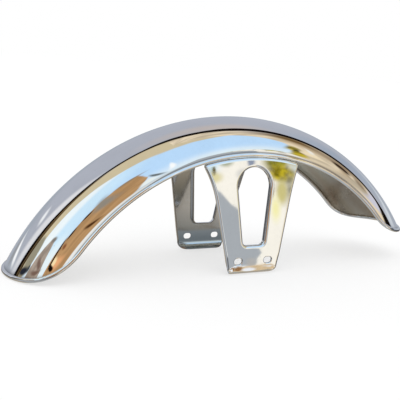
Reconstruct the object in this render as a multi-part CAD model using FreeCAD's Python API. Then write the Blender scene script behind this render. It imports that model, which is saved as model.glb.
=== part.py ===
import FreeCAD, Part
import math
import os

from FreeCAD import Vector

# Motorcycle mudguard, in millimetres: a pressed blade and the bridge that carries it on the fork.
# It is laid out about the wheel axis, which runs along Y through the origin, with the short end
# towards +X, and is set down on its feet and its long end at the very end of the script.

# Blade: a three-centred arch with straight skirts, bent to a circle and edged with a bead
crown_r = 330.0            # wheel axis to the outside of the crown
half_width = 61.0          # outside of the skirts from the middle plane
arch_depth = 38.9          # crown to the top of the skirts
arch_r = 28.0              # outside radius of the arch's shoulders
skirt_depth = 4.0          # top of the skirts to the middle of the bead
blade_t = 1.2
bead_r = 2.75
bead_sides = 8
long_end_deg = 65.7        # crown's end, from the top, towards -X
short_end_deg = 57.4       # crown's end, from the top, towards +X
long_round_r = 92.0        # rounds the long end into the lip, in side view
short_round_r = 75.0       # the same at the short end

# The inner skin and the saddle follow the arch in flats
crown_flats = 6
shoulder_flats = 3
skirt_steps = 2            # steps of the bead up each skirt at an end

# Bridge: a saddle under the crown with a splayed leg on each side
bridge_t = 2.0
weld_gap = 0.2             # saddle to the inside of the blade
bead_gap = 0.4             # saddle to the inside of the bead
leg_gap = 1.0              # top of a leg to the underside of the bead
saddle_half = 36.0         # half length of the saddle along the blade
leg_offset = -3.5          # middle of the legs along X
foot_reach = 74.6          # middle plane to the outside of a foot
top_reach = 62.0           # middle plane to the outside of a leg below the bead
foot_drop = 18.2           # bolt slots to the bottom of a foot
foot_bend = 9.0            # bolt slots to the bend where the leg starts to lean in
bend_r = 80.0
curl_r = 10.0              # outside radius of the curled foot
corner_r = 10.0            # corners of a foot, seen from the side
corner_sink = 1.5          # how far those corners' base line lies below the foot
foot_half = 38.9           # half width of a leg at the bolt slots
waist_half = 55.0          # half width of a leg where it starts to flare
waist_height = 77.0        # bolt slots to that place
long_top_half = 74.0       # half width of a leg below the bead, towards the long end
short_top_half = 68.0      # the same towards the short end
edge_depth = 4.0           # turned edges along a leg
curl_depth = 10.0          # turned edge under the foot
curl_taper = 15.0          # how far that edge draws in at each end
top_depth = 7.0            # turned edge at the top

# Cut-out in each leg, with its edge turned in
cut_top_r = 24.0
cut_top_height = 95.5      # bolt slots to the centre of its round top
cut_low_half = 16.0        # half width at its lower corners
cut_low_r = 7.0
cut_low_height = 19.5      # bolt slots to its lower end
cut_depth = 6.0            # its turned edge

# Bolt slots
slot_spacing = 44.0
slot_width = 8.0
slot_length = 11.5

# Room for tools to run past what they cut
margin = 8.0
margin_deg = 8.0

straight_bow = 0.05        # an arc that bows less than this is drawn straight

skirt_r = crown_r - arch_depth
lip_r = skirt_r - skirt_depth
shoulder_y = half_width - arch_r
crown_arc_r = (shoulder_y ** 2 + arch_depth ** 2 - arch_r ** 2) / (2 * (arch_depth - arch_r))
crown_turn = math.degrees(math.atan2(shoulder_y, crown_arc_r - arch_depth))
leg_top_r = lip_r - bead_r - leg_gap
leg_top = leg_top_r + margin
along_y = Vector(0, 1, 0)
along_x = Vector(1, 0, 0)
origin = Vector(0, 0, 0)


def polar(radius, degrees):
    angle = math.radians(degrees)
    return Vector(radius * math.sin(angle), 0, radius * math.cos(angle))


def line(start, end):
    return Part.LineSegment(start, end).toShape()


def arc(start, middle, end):
    return Part.Arc(start, middle, end).toShape()


def tangent_arc(start, direction, end):
    chord = end - start
    half = chord.Length / 2
    bow = math.tan(direction.getAngle(chord) / 2) * half
    if bow < straight_bow:
        return line(start, end)
    across = direction - chord * (direction.dot(chord) / chord.dot(chord))
    return arc(start, start + chord * 0.5 + across.normalize() * bow, end)


def face_of(edges):
    return Part.Face(Part.Wire(Part.sortEdges(edges)[0]))


def polygon(points):
    return Part.makePolygon(points + points[:1])


def turned(section, from_deg, to_deg):
    start = section.copy()
    start.rotate(origin, along_y, from_deg)
    return start.revolve(origin, along_y, to_deg - from_deg)


def arch_point(inset, degrees):
    # Point of the arch, inset from its outside, where its normal leans by so much towards +Y
    lean = math.radians(degrees)
    if abs(degrees) > crown_turn:
        centre = Vector(0, math.copysign(shoulder_y, degrees), skirt_r)
        radius = arch_r - inset
    else:
        centre = Vector(0, 0, crown_r - crown_arc_r)
        radius = crown_arc_r - inset
    return centre + Vector(0, radius * math.sin(lean), radius * math.cos(lean))


def arch_leans():
    # Normals at the corners of the flats, from the -Y skirt to the +Y skirt
    step = (90 - crown_turn) / shoulder_flats
    side = [crown_turn + step * number for number in range(1, shoulder_flats + 1)]
    crown = [crown_turn * (2 * number / crown_flats - 1) for number in range(crown_flats + 1)]
    return [-lean for lean in reversed(side)] + crown + side


def round_arch(inset):
    halfway = (90 + crown_turn) / 2
    spans = ((-90, -halfway, -crown_turn), (-crown_turn, 0, crown_turn), (crown_turn, halfway, 90))
    return [arc(*[arch_point(inset, lean) for lean in span]) for span in spans]


def flat_arch(inset):
    points = [arch_point(inset, lean) for lean in arch_leans()]
    return [line(start, end) for start, end in zip(points, points[1:])]


def under_arch(edges, inset, low_r):
    # Face from an arch down to low_r
    reach = half_width - inset
    corners = [Vector(0, -reach, skirt_r), Vector(0, -reach, low_r)]
    corners += [Vector(0, reach, low_r), Vector(0, reach, skirt_r)]
    return face_of(edges + [line(start, end) for start, end in zip(corners, corners[1:])])


def end_lead(radius, round_r):
    # Angle from the centre of an end's rounding to where it crosses a radius
    centre_r = lip_r + round_r
    cosine = (radius ** 2 + centre_r ** 2 - round_r ** 2) / (2 * radius * centre_r)
    return math.degrees(math.acos(cosine))


def end_radius(lead, round_r):
    # Radius at which an end's rounding has come so far from its centre
    centre_r = lip_r + round_r
    angle = math.radians(lead)
    return centre_r * math.cos(angle) - math.sqrt(round_r ** 2 - (centre_r * math.sin(angle)) ** 2)


def end_values(side):
    # Rounding radius of an end and the angle where the lip runs into it
    if side > 0:
        return short_round_r, short_end_deg - end_lead(crown_r, short_round_r)
    return long_round_r, end_lead(crown_r, long_round_r) - long_end_deg


def floor_level():
    # Underside of the long end's tip, on which the part stands together with its feet
    round_r, centre_deg = end_values(-1)
    tip_r = crown_r - blade_t / 2
    return polar(tip_r, centre_deg - end_lead(tip_r, round_r)).z - bead_r


foot_z = floor_level()
hole_height = foot_z + foot_drop


def end_rounding(side):
    # From the lip, which it leaves smoothly, out past the crown
    round_r, centre_deg = end_values(side)
    outer_r = crown_r + margin
    start = polar(lip_r, centre_deg)
    last = polar(outer_r, centre_deg + side * end_lead(outer_r, round_r))
    return tangent_arc(start, polar(1, centre_deg + side * 90), last), start, last


def blade_outline():
    # Side view of the blade: the lip, both rounded ends, and clear room over the crown
    left, left_start, left_last = end_rounding(-1)
    right, right_start, right_last = end_rounding(1)
    lip = arc(left_start, polar(lip_r, 0), right_start)
    over = arc(left_last, polar(crown_r + margin, 0), right_last)
    face = face_of([left, lip, right, over])
    reach = half_width + margin
    face.translate(Vector(0, -reach, 0))
    return face.extrude(along_y * (2 * reach))


def blade_sheet():
    # The stretch along the lip, and both ends, which are trimmed to the outline
    outside = under_arch(round_arch(0), 0, lip_r)
    inside = under_arch(flat_arch(blade_t), blade_t, lip_r)
    section = outside.cut(inside).Faces[0]
    left_deg = end_values(-1)[1]
    right_deg = end_values(1)[1]
    left = turned(section, -long_end_deg - margin_deg, left_deg)
    right = turned(section, right_deg, short_end_deg + margin_deg)
    outline = blade_outline()
    return [turned(section, left_deg, right_deg), left.common(outline), right.common(outline)]


def bead_ring(centre, normal, along):
    # Section of the bead, square to the way it runs
    out = (normal - along * normal.dot(along)).normalize()
    across = along.cross(out)
    points = []
    for number in range(bead_sides):
        angle = (number + 0.5) * 2 * math.pi / bead_sides
        points.append(centre + (out * math.cos(angle) + across * math.sin(angle)) * bead_r)
    return polygon(points)


def lip_bead(side):
    lip_y = side * (half_width - blade_t / 2)
    from_deg = end_values(-1)[1]
    to_deg = end_values(1)[1]
    centre = Vector(0, lip_y, lip_r)
    return turned(Part.Face(bead_ring(centre, along_y * side, along_x)), from_deg, to_deg)


def end_bead(side):
    # Over an end from lip to lip, along the middle of the sheet
    round_r, centre_deg = end_values(side)
    skirt_lead = end_lead(skirt_r, round_r)
    skirt_y = half_width - blade_t / 2
    leads = [skirt_lead * number / skirt_steps for number in range(skirt_steps)]
    up = [(end_radius(lead, round_r), skirt_y, lead, 90) for lead in leads]
    route = [(radius, -y, lead, -lean) for radius, y, lead, lean in up]
    for lean in arch_leans():
        point = arch_point(blade_t / 2, lean)
        route.append((point.z, point.y, end_lead(point.z, round_r), lean))
    route += reversed(up)
    points = []
    normals = []
    for radius, y, lead, lean in route:
        degrees = centre_deg + side * lead
        angle = math.radians(lean)
        points.append(polar(radius, degrees) + along_y * y)
        normals.append(polar(math.cos(angle), degrees) + along_y * math.sin(angle))
    steps = [(end - start).normalize() for start, end in zip(points, points[1:])]
    lip_step = polar(1, centre_deg + side * 90)
    ways = [(before + after).normalize() for before, after in zip(steps, steps[1:])]
    ways = [lip_step] + ways + [-lip_step]
    rings = [bead_ring(*place) for place in zip(points, normals, ways)]
    return Part.makeLoft(rings, True, True)


def mudguard_blade():
    middle, left, right = blade_sheet()
    return middle.fuse([left, right, lip_bead(-1), lip_bead(1), end_bead(-1), end_bead(1)])


def saddle():
    low_r = leg_top_r - bridge_t
    reach = half_width - blade_t / 2 - bead_r - bead_gap
    gap = blade_t + weld_gap
    layers = []
    for inset, side_y in ((gap, reach), (gap + bridge_t, reach - bridge_t)):
        corners = [Vector(0, -side_y, low_r), Vector(0, -side_y, crown_r)]
        corners += [Vector(0, side_y, crown_r), Vector(0, side_y, low_r)]
        layers.append(under_arch(flat_arch(inset), inset, low_r).common(Part.Face(polygon(corners))))
    section = layers[0].cut(layers[1]).Faces[0]
    middle_deg = math.degrees(math.asin(leg_offset / leg_top_r))
    span_deg = math.degrees(math.asin(saddle_half / leg_top_r))
    return turned(section, middle_deg - span_deg, middle_deg + span_deg)


def leg_side(side):
    # One side edge of a leg, from the lower corner to the top, in side view
    top_half = short_top_half if side > 0 else long_top_half
    slope = (waist_half - foot_half) / waist_height
    low_z = foot_z - corner_sink
    low = Vector(leg_offset + side * (foot_half + slope * (low_z - hole_height)), 0, low_z)
    waist = Vector(leg_offset + side * waist_half, 0, hole_height + waist_height)
    top_x = leg_offset + side * top_half
    top = Vector(top_x, 0, math.sqrt(leg_top_r ** 2 - top_x ** 2))
    direction = (waist - low).normalize()
    inward = Vector(-side, 0, 0)
    reach = corner_r * math.tan((math.pi - direction.getAngle(inward)) / 2)
    into = low + inward * reach
    away = low + direction * reach
    corner = tangent_arc(into, -inward, away)
    return [corner, line(away, waist), tangent_arc(waist, direction, top)], into, top


def leg_outline():
    left, left_low, left_top = leg_side(-1)
    right, right_low, right_top = leg_side(1)
    top = arc(left_top, Vector(0, 0, leg_top_r), right_top)
    return face_of(left + right + [top, line(left_low, right_low)])


def leg_front(depth=0.0):
    # Edge view of a leg on the -Y side: its top, and both ends of the bend above the foot.
    # depth shifts it inwards.
    bend_z = hole_height + foot_bend
    lean = (foot_reach - top_reach) / (leg_top_r - bend_z)
    top = Vector(0, -foot_reach + lean * (leg_top - bend_z) + depth, leg_top)
    bend = Vector(0, -foot_reach + depth, bend_z)
    up = (top - bend).normalize()
    reach = bend_r * math.tan(up.getAngle(Vector(0, 0, 1)) / 2)
    over = bend + up * reach
    under = bend - Vector(0, 0, reach)
    return top, over, under


def leg_profile():
    # Solid room behind a leg's outside, in edge view
    top, over, under = leg_front()
    curl_start = Vector(0, -foot_reach, foot_z + curl_r)
    curl_end = Vector(0, -foot_reach + curl_r, foot_z)
    back_y = -top_reach + curl_depth + 2 * margin
    edges = [line(top, over), tangent_arc(under, Vector(0, 0, 1), over), line(under, curl_start)]
    edges.append(tangent_arc(curl_start, Vector(0, 0, -1), curl_end))
    edges.append(line(curl_end, Vector(0, back_y, foot_z)))
    edges.append(line(Vector(0, back_y, foot_z), Vector(0, back_y, leg_top)))
    edges.append(line(Vector(0, back_y, leg_top), top))
    return face_of(edges)


def across_y(face):
    # Prism through the whole -Y leg
    tool = face.copy()
    tool.translate(along_y * (-foot_reach - margin))
    return tool.extrude(along_y * (foot_reach + margin))


def across_x(face):
    # Prism over the whole width of a leg
    reach = long_top_half + short_top_half
    tool = face.copy()
    tool.translate(Vector(leg_offset - reach, 0, 0))
    return tool.extrude(along_x * (2 * reach))


def leg_block(inset):
    outline = leg_outline()
    profile = leg_profile()
    if inset:
        outline = outline.makeOffset2D(-inset)
        profile = profile.makeOffset2D(-inset)
    return across_y(outline).common(across_x(profile))


def flange_room():
    # What the turned edges may fill: deeper at the top and under the foot, where they draw in at both ends
    top, over, under = leg_front(edge_depth)
    outer_y = -foot_reach - margin
    shelf_y = -top_reach + top_depth
    shelf_z = math.sqrt(leg_top_r ** 2 - (long_top_half - leg_offset) ** 2)
    slope = (top.y - over.y) / (top.z - over.z)
    points = [
        Vector(0, outer_y, foot_z - margin),
        Vector(0, -foot_reach + edge_depth, foot_z - margin),
        under,
        over,
        Vector(0, over.y + slope * (shelf_z - edge_depth - over.z), shelf_z - edge_depth),
        Vector(0, shelf_y, shelf_z),
        Vector(0, shelf_y, leg_top),
        Vector(0, outer_y, leg_top),
    ]
    low_z = foot_z - margin
    curl_half = foot_half - curl_taper
    curl = [
        Vector(leg_offset - foot_half, -foot_reach, low_z),
        Vector(leg_offset + foot_half, -foot_reach, low_z),
        Vector(leg_offset + curl_half, -foot_reach + curl_depth, low_z),
        Vector(leg_offset - curl_half, -foot_reach + curl_depth, low_z),
    ]
    under_foot = Part.Face(polygon(curl)).extrude(Vector(0, 0, margin + curl_r))
    return across_x(Part.Face(polygon(points))).fuse(under_foot)


def cut_out():
    # Egg-shaped opening: a round top, sides tangent to it, and a narrower lower end
    top = Vector(leg_offset, 0, hole_height + cut_top_height)
    low_z = hole_height + cut_low_height
    edges = []
    lows = []
    shoulders = []
    for side in (-1, 1):
        low = Vector(leg_offset + side * (cut_low_half - cut_low_r), 0, low_z + cut_low_r)
        run = low - top
        lean = math.acos((cut_top_r - cut_low_r) / run.Length)
        heading = math.atan2(run.z, run.x) + side * lean
        normal = Vector(math.cos(heading), 0, math.sin(heading))
        upper = top + normal * cut_top_r
        lower = low + normal * cut_low_r
        base = low - Vector(0, 0, cut_low_r)
        edges.append(line(upper, lower))
        edges.append(tangent_arc(base, Vector(side, 0, 0), lower))
        lows.append(base)
        shoulders.append(upper)
    edges.append(line(lows[0], lows[1]))
    edges.append(arc(shoulders[0], top + Vector(0, 0, cut_top_r), shoulders[1]))
    return face_of(edges)


def bolt_slots():
    radius = slot_width / 2
    half = (slot_length - slot_width) / 2
    tools = []
    for side in (-1, 1):
        middle = Vector(leg_offset + side * slot_spacing / 2, 0, hole_height)
        up = Vector(0, 0, radius)
        left = middle - Vector(half, 0, 0)
        right = middle + Vector(half, 0, 0)
        edges = [line(left + up, right + up), line(left - up, right - up)]
        edges.append(arc(left + up, left - Vector(radius, 0, 0), left - up))
        edges.append(arc(right + up, right + Vector(radius, 0, 0), right - up))
        tools.append(across_y(face_of(edges)))
    return tools


def cut_collar():
    # The opening's edge, turned in
    top, over = leg_front()[:2]
    inner_top, inner_over = leg_front(cut_depth)[:2]
    room = across_x(Part.Face(polygon([top, over, inner_over, inner_top])))
    return across_y(cut_out().makeOffset2D(bridge_t)).common(room)


def leg():
    tray = leg_block(0.0).cut(leg_block(bridge_t)).common(flange_room())
    tray = tray.fuse(cut_collar())
    return tray.cut([across_y(cut_out())] + bolt_slots()).removeSplitter()


def fork_bridge():
    near = leg()
    far = near.mirror(origin, along_y)
    return saddle().fuse([near, far]).removeSplitter()


def write(nodes):
    os.makedirs("parts", exist_ok=True)
    box = FreeCAD.BoundBox()
    for shape in nodes.values():
        box.add(shape.optimalBoundingBox(False, False))
    shift = Vector(-box.Center.x, 0, -box.ZMin)
    print("wheel axis in the finished frame:", tuple(round(value, 3) for value in shift))
    print("size:", round(box.XLength, 2), round(box.YLength, 2), round(box.ZLength, 2))
    for name, shape in nodes.items():
        solid = shape.Solids[0]
        solid.translate(shift)
        print(name, len(shape.Solids), solid.isValid(), round(solid.Volume, 1))
        solid.exportStep("parts/" + name + ".step")


write({"mudguard_blade": mudguard_blade(), "fork_bridge": fork_bridge()})
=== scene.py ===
import bmesh
import bpy
import math
from mathutils import Matrix, Vector
from mathutils.geometry import delaunay_2d_cdt


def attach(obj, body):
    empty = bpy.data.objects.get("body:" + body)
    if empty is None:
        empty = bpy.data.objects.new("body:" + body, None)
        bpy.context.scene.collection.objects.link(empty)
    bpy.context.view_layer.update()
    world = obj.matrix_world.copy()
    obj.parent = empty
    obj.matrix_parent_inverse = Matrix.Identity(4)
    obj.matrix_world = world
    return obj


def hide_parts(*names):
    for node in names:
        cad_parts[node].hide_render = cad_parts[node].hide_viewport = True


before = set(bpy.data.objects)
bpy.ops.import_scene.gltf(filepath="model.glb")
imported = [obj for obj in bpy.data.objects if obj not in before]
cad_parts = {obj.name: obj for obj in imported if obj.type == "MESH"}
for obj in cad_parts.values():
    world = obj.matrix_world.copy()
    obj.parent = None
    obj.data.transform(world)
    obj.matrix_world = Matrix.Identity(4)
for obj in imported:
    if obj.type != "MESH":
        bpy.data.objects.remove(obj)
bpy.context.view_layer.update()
mm = 0.001
tiny = 1e-6  # a turn below this counts as none
axle = Vector((11.375, 0.0, -133.069))  # wheel axis in the part's frame, mm

# Blade: an arched section bent round the wheel, trimmed to rounded ends and edged with a bead
blade = {
    "crownR": 330.0,
    "halfWidth": 61.0,
    "archDepth": 38.9,
    "skirtDepth": 4.0,
    "sheet": 1.2,
    "beadR": 2.75,
    "skin": 0.13,  # outer skin's inset, so that it stays inside the solid
    "beadSkin": 0.03,  # the same for the bead
    "longEnd": 65.7,
    "longRound": 92.0,
    "shortEnd": 57.4,
    "shortRound": 75.0,
    "stepsAlong": 240,
    "stepsAcross": 80,
    "skirtSteps": 8,
    "beadSteps": 18,
    "lipSteps": 170,
    "shadeRows": 7,  # rows along the lips that are fully darkened with painted shade, mostly under the bead
    "shadeGaps": 1,  # the same at the ends
    "shadeFade": 1.5,
}
skirtR = blade["crownR"] - blade["archDepth"]
lipR = skirtR - blade["skirtDepth"]


def polar(radius, degrees, y=0.0):
    angle = math.radians(degrees)
    return Vector((radius * math.sin(angle), y, radius * math.cos(angle)))


def endLead(radius, roundR):
    centreR = lipR + roundR
    cosine = (radius ** 2 + centreR ** 2 - roundR ** 2) / (2 * radius * centreR)
    return math.degrees(math.acos(min(1.0, cosine)))


def endAngles(radius):  # where the sheet ends at this radius, long end first
    longLead = endLead(blade["crownR"], blade["longRound"]) - endLead(radius, blade["longRound"])
    shortLead = endLead(blade["crownR"], blade["shortRound"]) - endLead(radius, blade["shortRound"])
    return longLead - blade["longEnd"], blade["shortEnd"] - shortLead


def archSection(inset):  # (y, radius, normal y, normal radius) from the near lip to the far lip
    points = []
    for step in range(blade["skirtSteps"]):
        part = step / blade["skirtSteps"]
        points.append((-blade["halfWidth"] + inset, lipR + blade["skirtDepth"] * part * part, -1.0, 0.0))
    far = [(-y, r, 1.0, 0.0) for y, r, ny, nr in reversed(points)]
    for step in range(blade["stepsAcross"] + 1):
        turn = math.pi * (step / blade["stepsAcross"] - 0.5)
        ny, nr = math.sin(turn) / blade["halfWidth"], math.cos(turn) / blade["archDepth"]
        size = math.hypot(ny, nr)
        ny, nr = ny / size, nr / size
        y = blade["halfWidth"] * math.sin(turn) - ny * inset
        points.append((y, skirtR + blade["archDepth"] * math.cos(turn) - nr * inset, ny, nr))
    return points + far


def placed(name, data):  # a new object in the scene
    thing = bpy.data.objects.new(name, data)
    bpy.context.scene.collection.objects.link(thing)
    return thing


def newPiece(name, verts, faces, slots, materials):
    mesh = bpy.data.meshes.new(name)
    mesh.from_pydata([(vert + axle) * mm for vert in verts], [], faces)
    for material in materials:
        mesh.materials.append(material)
    mesh.polygons.foreach_set("material_index", slots)
    mesh.shade_smooth()
    return placed(name, mesh)


def beadCreaseShade(step, place, across):  # how much painted shade a point of the sheet's grid gets, close to the bead
    rows = min(place, across - 1 - place)
    gaps = min(step, blade["stepsAlong"] - step)
    past = min(max(0, rows - blade["shadeRows"]), max(0, gaps - blade["shadeGaps"]))
    return max(0.0, 1 - past / blade["shadeFade"])


def sheetGrid(inset, flip, verts, faces, creaseShade):
    section = archSection(inset)
    first = len(verts)
    across = len(section)
    along = blade["stepsAlong"]
    for step in range(along + 1):
        for place, (y, radius, ny, nr) in enumerate(section):
            start, end = endAngles(radius)
            verts.append(polar(radius, start + (end - start) * step / along, y))
            # each point keeps its share of painted shade along the bead
            creaseShade.append(beadCreaseShade(step, place, across))
    for step in range(along):
        for place in range(across - 1):
            a = first + step * across + place
            quad = (a, a + across, a + across + 1, a + 1)
            faces.append(quad[::-1] if flip else quad)


def beadPath():  # middle of the sheet's edge all the way round, with the sheet's normals
    section = archSection(blade["sheet"] / 2)
    reach = blade["halfWidth"] - blade["sheet"] / 2
    path = []
    for end, side, run in ((1, 1, section), (0, -1, section[::-1])):
        for y, radius, ny, nr in run:
            degrees = endAngles(radius)[end]
            path.append((polar(radius, degrees, y), polar(nr, degrees, ny)))
        start, stop = endAngles(lipR)[end], endAngles(lipR)[1 - end]
        for step in range(1, blade["lipSteps"]):
            degrees = start + (stop - start) * step / blade["lipSteps"]
            path.append((polar(lipR, degrees, side * reach), Vector((0, side, 0))))
    return path


def beadTube(verts, faces):
    path = beadPath()
    count = len(path)
    around = blade["beadSteps"]
    radius = blade["beadR"] - blade["beadSkin"]
    first = len(verts)
    for number, (point, normal) in enumerate(path):
        way = (path[(number + 1) % count][0] - path[number - 1][0]).normalized()
        out = (normal - way * normal.dot(way)).normalized()
        side = way.cross(out)
        for step in range(around):
            angle = 2 * math.pi * step / around
            verts.append(point + (out * math.cos(angle) + side * math.sin(angle)) * radius)
    for number in range(count):
        for step in range(around):
            a = first + number * around + step
            b = first + number * around + (step + 1) % around
            c = first + (number + 1) % count * around + (step + 1) % around
            d = first + (number + 1) % count * around + step
            faces.append((a, b, c, d))


def buildBlade(materials):
    verts, faces, creaseShade = [], [], []
    sheetGrid(blade["skin"], False, verts, faces, creaseShade)
    outer = len(faces)
    sheetGrid(blade["sheet"], True, verts, faces, creaseShade)
    both = len(faces)
    beadTube(verts, faces)
    slots = [0] * outer + [1] * (both - outer) + [0] * (len(faces) - both)
    piece = newPiece("mudguardBlade", verts, faces, slots, materials)
    # painted shade along the bead, a share for each point
    layer = piece.data.attributes.new("beadCreaseShade", "FLOAT", "POINT")
    layer.data.foreach_set("value", creaseShade + [0.0] * (len(verts) - len(creaseShade)))
    return piece


# Bridge: two splayed legs with turned edges under a saddle
bridge = {
    "sheet": 2.0,
    "legOffset": -3.5,
    "footReach": 74.6,
    "topReach": 62.0,
    "footDrop": 18.2,
    "footBend": 9.0,
    "bendR": 80.0,
    "curlR": 10.0,
    "cornerR": 18.0,
    "footHalf": 38.9,
    "waistHalf": 55.0,
    "waistHeight": 77.0,
    "longTopHalf": 74.0,
    "shortTopHalf": 68.0,
    "edgeDepth": 4.0,
    "endDepth": 0.4,  # what is left of the turned edge at the foot
    "fadeLow": 3.0,  # heights over the foot between which it grows to its full depth
    "fadeHigh": 20.0,
    "topDepth": 7.0,
    "topSlope": (0.3, 0.85),  # how far the edge faces up where it starts to be a top edge and where it is one
    "topCornerReach": 5.0,  # the outline is softened this far from its top corners
    "topCornerTurns": 30,
    "foldR": 2.5,
    "foldShare": 0.75,  # of a corner's radius that a fold takes at most
    "cutTopR": 24.0,
    "cutTopHeight": 95.5,
    "cutLowHalf": 16.0,
    "cutLowR": 7.0,
    "cutLowHeight": 19.5,
    "cutDepth": 6.0,
    "cutFoldR": 2.8,
    "slotSpacing": 44.0,
    "slotWidth": 8.0,
    "slotLength": 11.5,
    "slotMouth": 1.1,  # rounding of a slot's outer edge
    "slotMargin": 1.5,  # ring of faces round a slot
    "slotSteps": 12,
    "mouthSteps": 4,
    "mouthSlack": 0.1,  # an edge this far past a slot's end still counts as its mouth
    "legGap": 1.0,
    "weldGap": 0.2,
    "beadGap": 0.4,
    "saddleHalf": 36.0,
    "saddleSteps": 24,
    "saddleSideSteps": 8,
    "foldSteps": 10,
    "evenTurns": 16,  # rounds of evening out along a fold
    "strip": 1.2,  # even strip of faces between the flat and a fold
    "stripShare": 0.6,  # of the room in a tight corner that the strip takes at most
    "gridStep": 3.0,
    "gridGap": 1.6,  # room between the grid of the flat and the outlines
    "joinReach": 1e-5,  # points of the flat this close are one
    "sharpAngle": 40.0,  # edges that turn more than this stay crisp
}
legTopR = lipR - blade["beadR"] - bridge["legGap"]
tipR = blade["crownR"] - blade["sheet"] / 2
footZ = polar(tipR, endAngles(tipR)[0]).z - blade["beadR"]
holeZ = footZ + bridge["footDrop"]
sheetLowZ = footZ + bridge["curlR"] * (1 - math.pi / 2)  # end of the foot with its curl laid flat


def lineRun(start, end, gap=1.0):  # points from start up to, but not at, end
    count = max(1, round((end - start).length / gap))
    return [start + (end - start) * step / count for step in range(count)]


def arcRun(start, heading, end, gap=1.0):  # the same along an arc that leaves start with that heading
    chord = end - start
    bend = math.atan2(heading.x * chord.y - heading.y * chord.x, heading.dot(chord))
    if abs(bend) < tiny:
        return lineRun(start, end, gap)
    radius = chord.length / (2 * math.sin(bend))
    centre = start + Vector((-heading.y, heading.x)) * radius
    count = max(2, round(abs(2 * bend * radius) / gap))
    spoke = start - centre
    return [centre + Matrix.Rotation(2 * bend * step / count, 2) @ spoke for step in range(count)]


def legOutline():  # counterclockwise in side view with the curl laid flat, (x, z)
    def sideRun(side, topHalf):
        slope = (bridge["waistHalf"] - bridge["footHalf"]) / bridge["waistHeight"]
        lowHalf = bridge["footHalf"] - slope * (holeZ - sheetLowZ)
        low = Vector((bridge["legOffset"] + side * lowHalf, sheetLowZ))
        waist = Vector((bridge["legOffset"] + side * bridge["waistHalf"], holeZ + bridge["waistHeight"]))
        topX = bridge["legOffset"] + side * topHalf
        top = Vector((topX, math.sqrt(legTopR ** 2 - topX ** 2)))
        up = (waist - low).normalized()
        reach = bridge["cornerR"] * math.tan((math.pi - up.angle(Vector((-side, 0)))) / 2)
        return low + Vector((-side * reach, 0)), low + up * reach, up, waist, top

    rightLow, rightUp, rightWay, rightWaist, rightTop = sideRun(1, bridge["shortTopHalf"])
    leftLow, leftUp, leftWay, leftWaist, leftTop = sideRun(-1, bridge["longTopHalf"])
    points = lineRun(leftLow, rightLow)
    points += arcRun(rightLow, Vector((1, 0)), rightUp)
    points += lineRun(rightUp, rightWaist)
    points += arcRun(rightWaist, rightWay, rightTop)
    heading = Vector((-rightTop.y, rightTop.x)).normalized()
    points += arcRun(rightTop, heading, leftTop)
    leftSide = arcRun(leftWaist, leftWay, leftTop) + [leftTop]
    points += leftSide[:0:-1]
    points += lineRun(leftWaist, leftUp)
    corner = arcRun(leftLow, Vector((-1, 0)), leftUp) + [leftUp]
    points += corner[:0:-1]
    return softened(points, [rightTop, leftTop])


def softened(points, corners):  # rounds the sharp top corners
    reach = bridge["topCornerReach"]
    near = [any((point - corner).length < reach for corner in corners) for point in points]
    for turn in range(bridge["topCornerTurns"]):
        last = list(points)
        for number, soft in enumerate(near):
            if soft:
                after = last[(number + 1) % len(last)]
                points[number] = (last[number - 1] + last[number] * 2 + after) / 4
    return points


def cutOutline():  # the opening, counterclockwise
    top = Vector((bridge["legOffset"], holeZ + bridge["cutTopHeight"]))
    lowZ = holeZ + bridge["cutLowHeight"] + bridge["cutLowR"]
    ends = []
    for side in (-1, 1):
        low = Vector((bridge["legOffset"] + side * (bridge["cutLowHalf"] - bridge["cutLowR"]), lowZ))
        run = low - top
        lean = math.acos((bridge["cutTopR"] - bridge["cutLowR"]) / run.length)
        heading = math.atan2(run.y, run.x) + side * lean
        normal = Vector((math.cos(heading), math.sin(heading)))
        ends.append((top + normal * bridge["cutTopR"], low + normal * bridge["cutLowR"], low, normal))
    (leftUp, leftLow, leftMid, leftOut), (rightUp, rightLow, rightMid, rightOut) = ends
    leftBase = leftMid - Vector((0, bridge["cutLowR"]))
    rightBase = rightMid - Vector((0, bridge["cutLowR"]))
    points = lineRun(leftBase, rightBase)
    points += arcRun(rightBase, Vector((1, 0)), rightLow)
    points += lineRun(rightLow, rightUp)
    points += arcRun(rightUp, Vector((-rightOut.y, rightOut.x)), leftUp)
    points += lineRun(leftUp, leftLow)
    points += arcRun(leftLow, Vector((-leftOut.y, leftOut.x)), leftBase)
    return points


def slotOutline(side, margin=0.0):
    radius = bridge["slotWidth"] / 2 + margin
    half = (bridge["slotLength"] - bridge["slotWidth"]) / 2
    middle = Vector((bridge["legOffset"] + side * bridge["slotSpacing"] / 2, holeZ))
    points = []
    for start, shift in ((-90, half), (90, -half)):
        for step in range(bridge["slotSteps"] + 1):
            angle = math.radians(start + 180 * step / bridge["slotSteps"])
            points.append(middle + Vector((shift + radius * math.cos(angle), radius * math.sin(angle))))
    return points


def outwards(points):  # unit normals to the right of a counterclockwise run
    count = len(points)
    ways = [points[(number + 1) % count] - points[number - 1] for number in range(count)]
    return [Vector((way.y, -way.x)).normalized() for way in ways]


def smoothStep(low, high, value):
    part = min(1.0, max(0.0, (value - low) / (high - low)))
    return part * part * (3 - 2 * part)


def legFrontY(z):  # outside of the -Y leg in edge view
    bendZ = holeZ + bridge["footBend"]
    lean = math.atan2(bridge["footReach"] - bridge["topReach"], legTopR - bendZ)
    reach = bridge["bendR"] * math.tan(lean / 2)
    if z <= bendZ - reach:
        return -bridge["footReach"]
    if z >= bendZ + reach * math.cos(lean):
        return -bridge["footReach"] + (z - bendZ) * math.tan(lean)
    rise = z - (bendZ - reach)
    return -bridge["footReach"] + bridge["bendR"] - math.sqrt(bridge["bendR"] ** 2 - rise ** 2)


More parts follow.
